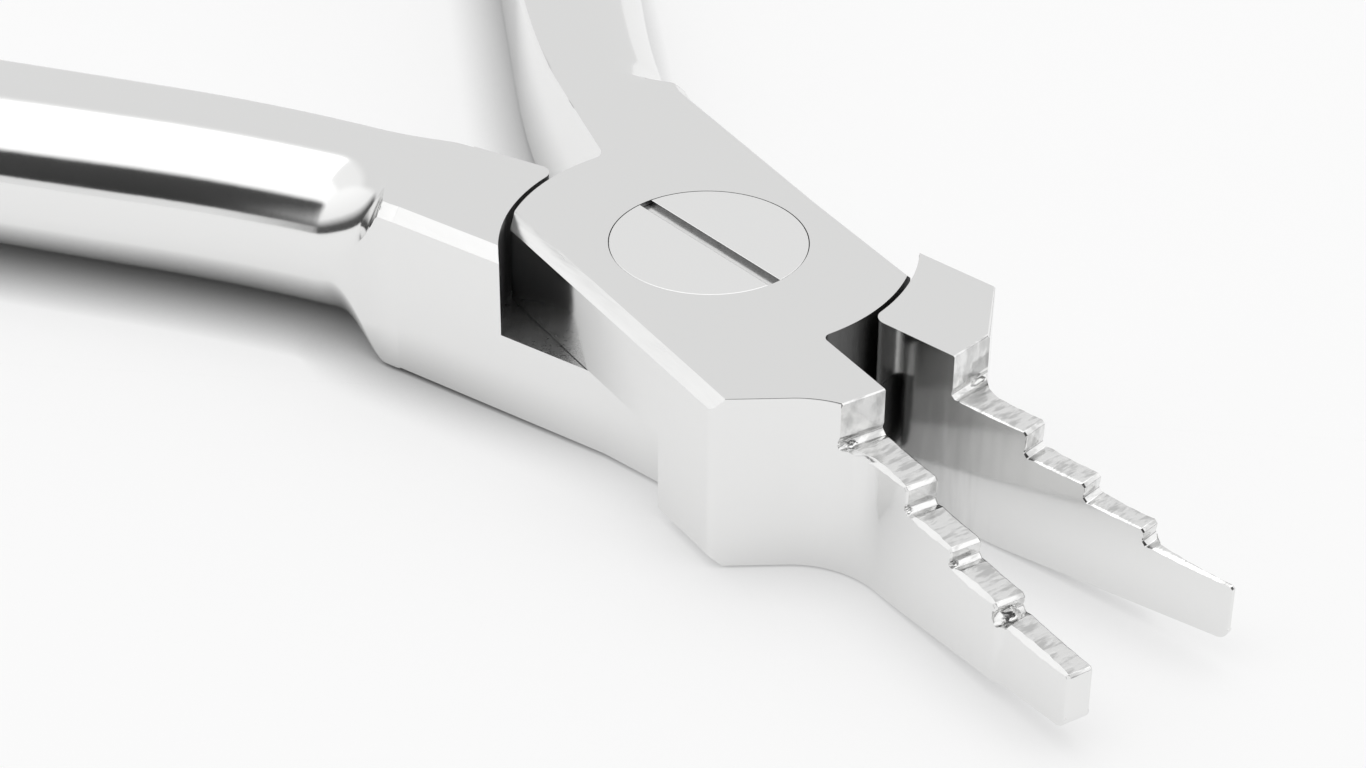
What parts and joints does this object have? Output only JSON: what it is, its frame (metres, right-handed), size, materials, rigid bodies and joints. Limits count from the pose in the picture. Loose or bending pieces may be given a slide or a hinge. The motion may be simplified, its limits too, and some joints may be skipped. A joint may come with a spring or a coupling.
{
  "type": "stepped loop-forming orthodontic pliers",
  "caption": "Crossing-lever hand pliers with a lap joint on a flush slotted pivot screw, stepped flat jaws for bending wire loops and half-round bowed handles.",
  "frame": {"origin": "the pivot axis where it meets the flat underside of the lap joint", "axes": "+X towards the jaw tips, halfway between the jaws; +Z along the pivot axis, from the underside to the stepped and slotted side; +Y towards the jaw of the lower lever"},
  "size_m": [0.129, 0.0804, 0.0086],
  "materials": {
    "lever_steel": "satin-polished stainless steel with ground step faces",
    "screw_steel": "satin-polished stainless steel, lapped flush with the joint"
  },
  "bodies": {
    "lower": {"lower_lever": "lever_steel", "pivot_screw": "screw_steel"},
    "upper": {"upper_lever": "lever_steel"}
  },
  "joints": [
    {"name": "pivot", "type": "hinge", "parent": "lower", "child": "upper", "pos_m": [0, 0, 0], "axis": [0, 0, 1], "range_deg": [-22, 16.18]}
  ]
}
